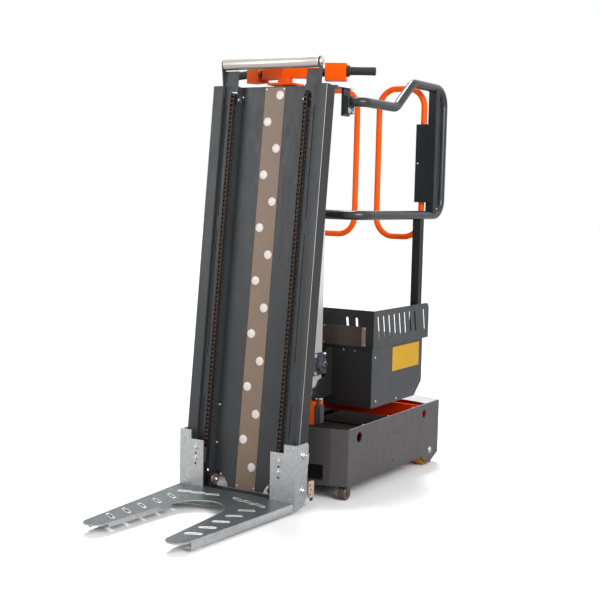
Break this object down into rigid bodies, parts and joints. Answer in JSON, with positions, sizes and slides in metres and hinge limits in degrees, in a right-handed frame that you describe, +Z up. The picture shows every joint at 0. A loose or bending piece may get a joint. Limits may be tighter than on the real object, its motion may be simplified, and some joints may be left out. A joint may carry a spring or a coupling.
{
  "type": "order picker",
  "caption": "Self-propelled stock picker: telescopic mast lifts a railed operator platform with a leaning load panel and a chain-driven fork plate.",
  "frame": {"origin": "on the floor, below the centre of the whole part's box, in the middle plane of the machine", "axes": "+Z up, +Y towards the operator's side, -Y towards the fork tips, +X to the right seen from the forks"},
  "size_m": [0.768, 1.9599, 1.895],
  "materials": {
    "orange_paint": "satin powder coat",
    "anthracite_paint": "fine texture powder coat",
    "cover_paint": "fine texture powder coat",
    "black_paint": "matt powder coat",
    "galvanised": "zinc plated",
    "steel": "bright",
    "dark_steel": "oiled",
    "anodised": "satin anodised",
    "roller_alu": "satin anodised",
    "cast_grey": "painted",
    "bearing_blue": "painted",
    "strip_plastic": "smooth",
    "stud_plastic": "smooth",
    "pad_plastic": "smooth",
    "shoe_plastic": "smooth",
    "black_plastic": "moulded",
    "grip_rubber": "ribbed",
    "tread": "cast polyurethane",
    "caster_tread": "cast polyurethane",
    "red_plastic": "moulded",
    "plate_metal": "blank",
    "lead_block": "case"
  },
  "bodies": {
    "base": {"base_frame": "orange_paint", "side_covers": "cover_paint", "front_cover": "cover_paint", "rear_cover": "cover_paint", "deck_plate": "galvanised", "batteries": "lead_block", "mast_foot": "orange_paint", "mast_inner": "anodised", "stop_posts": "cover_paint", "drive_gearmotors": "cast_grey", "base_screws": "steel"},
    "caster_left": {"caster_yoke_left": "galvanised"},
    "caster_right": {"caster_yoke_right": "galvanised"},
    "caster_roll_left": {"caster_wheel_left": "caster_tread"},
    "caster_roll_right": {"caster_wheel_right": "caster_tread"},
    "drive_left": {"drive_wheel_left": "tread"},
    "drive_right": {"drive_wheel_right": "tread"},
    "middle_stage": {"mast_middle": "anodised", "middle_pads": "pad_plastic"},
    "platform": {"mast_outer": "anodised", "outer_pads": "pad_plastic", "winch_bearings": "bearing_blue", "side_brackets": "anthracite_paint", "floor_plate": "anthracite_paint", "toe_board": "anthracite_paint", "housing_shell": "anthracite_paint", "control_unit": "black_plastic", "blank_plates": "plate_metal", "guard_rails": "anthracite_paint", "guard_posts": "anthracite_paint", "rail_clamps": "anthracite_paint", "head_frame": "anthracite_paint", "gate_hinges": "black_paint", "gate_covers": "black_paint", "panel_columns": "anthracite_paint", "panel_sheet": "anthracite_paint", "panel_mounts": "anthracite_paint", "wear_strip": "strip_plastic", "glide_studs": "stud_plastic", "lift_chains": "dark_steel", "sprocket_axles": "steel", "bearing_blocks": "cast_grey", "lift_gearmotors": "cast_grey", "roller_brackets": "anthracite_paint", "steering_base": "orange_paint"},
    "winch": {"winch_shaft": "steel"},
    "gate_l": {"gate_left": "orange_paint"},
    "gate_r": {"gate_right": "orange_paint"},
    "chain_top": {"top_sprockets": "dark_steel"},
    "chain_low": {"lower_sprockets": "dark_steel"},
    "roller": {"top_roller": "roller_alu"},
    "steering": {"handlebar": "orange_paint", "grips": "grip_rubber"},
    "thumb_left": {"throttle_left": "black_plastic"},
    "thumb_right": {"throttle_right": "black_plastic"},
    "stop": {"stop_button": "red_plastic"},
    "forks": {"fork_plate": "galvanised", "fork_uprights": "galvanised", "guide_shoes": "shoe_plastic", "fork_screws": "steel"}
  },
  "joints": [
    {"name": "mast_middle_lift", "type": "slide", "parent": "base", "child": "middle_stage", "axis": [0, 0, 1], "range_m": [0, 0.95]},
    {"name": "platform_lift", "type": "slide", "parent": "middle_stage", "child": "platform", "axis": [0, 0, 1], "range_m": [0, 0.95]},
    {"name": "winch_turn", "type": "hinge", "parent": "platform", "child": "winch", "pos_m": [0, 0.137, 0.565], "axis": [1, 0, 0], "range_deg": [0, 4541]},
    {"name": "fork_lift", "type": "slide", "parent": "platform", "child": "forks", "axis": [0, 0.1011, 0.9949], "range_m": [0, 1.32]},
    {"name": "chain_top_turn", "type": "hinge", "parent": "platform", "child": "chain_top", "pos_m": [0, -0.06664, 1.71603], "axis": [-1, 0, 0], "range_deg": [0, 3124]},
    {"name": "chain_low_turn", "type": "hinge", "parent": "platform", "child": "chain_low", "pos_m": [0, -0.23318, 0.07647], "axis": [-1, 0, 0], "range_deg": [0, 3124]},
    {"name": "gate_left_swing", "type": "hinge", "parent": "platform", "child": "gate_l", "pos_m": [-0.305, 0.806, 1.48], "axis": [0, 0, -1], "range_deg": [0, 85], "stiffness_Nm_per_rad": 3, "springref_deg": -11.46},
    {"name": "gate_right_swing", "type": "hinge", "parent": "platform", "child": "gate_r", "pos_m": [0.305, 0.806, 1.48], "axis": [0, 0, 1], "range_deg": [0, 85], "stiffness_Nm_per_rad": 3, "springref_deg": -11.46},
    {"name": "roller_turn", "type": "hinge", "parent": "platform", "child": "roller", "pos_m": [0, -0.073, 1.87], "axis": [1, 0, 0], "continuous": true},
    {"name": "steering_turn", "type": "hinge", "parent": "platform", "child": "steering", "pos_m": [0, 0.036, 1.8], "axis": [0, 0, 1], "range_deg": [-25, 25]},
    {"name": "throttle_left_turn", "type": "hinge", "parent": "steering", "child": "thumb_left", "pos_m": [0, 0.036, 1.846], "axis": [-0.915, 0.4035, 0], "range_deg": [-30, 30], "stiffness_Nm_per_rad": 0.3},
    {"name": "throttle_right_turn", "type": "hinge", "parent": "steering", "child": "thumb_right", "pos_m": [0, 0.036, 1.846], "axis": [0.915, 0.4035, 0], "range_deg": [-30, 30], "stiffness_Nm_per_rad": 0.3},
    {"name": "stop_press", "type": "slide", "parent": "steering", "child": "stop", "axis": [0, -1, 0], "range_m": [0, 0.005], "stiffness_N_per_m": 400},
    {"name": "caster_left_swivel", "type": "hinge", "parent": "base", "child": "caster_left", "pos_m": [-0.345, 0.07, 0.06], "axis": [0, 0, 1], "continuous": true},
    {"name": "caster_right_swivel", "type": "hinge", "parent": "base", "child": "caster_right", "pos_m": [0.345, 0.07, 0.06], "axis": [0, 0, 1], "continuous": true},
    {"name": "caster_left_roll", "type": "hinge", "parent": "caster_left", "child": "caster_roll_left", "pos_m": [-0.345, 0.043, 0.029], "axis": [1, 0, 0], "continuous": true},
    {"name": "caster_right_roll", "type": "hinge", "parent": "caster_right", "child": "caster_roll_right", "pos_m": [0.345, 0.043, 0.029], "axis": [1, 0, 0], "continuous": true},
    {"name": "drive_left_roll", "type": "hinge", "parent": "base", "child": "drive_left", "pos_m": [-0.335, 0.844, 0.077], "axis": [1, 0, 0], "continuous": true},
    {"name": "drive_right_roll", "type": "hinge", "parent": "base", "child": "drive_right", "pos_m": [0.335, 0.844, 0.077], "axis": [1, 0, 0], "continuous": true}
  ],
  "couplings": [
    {"joint": "mast_middle_lift", "follows": "platform_lift", "ratio": 1},
    {"joint": "winch_turn", "follows": "platform_lift", "rad_per_m": 83.333},
    {"joint": "chain_top_turn", "follows": "fork_lift", "rad_per_m": 41.228},
    {"joint": "chain_low_turn", "follows": "fork_lift", "rad_per_m": 41.228}
  ]
}
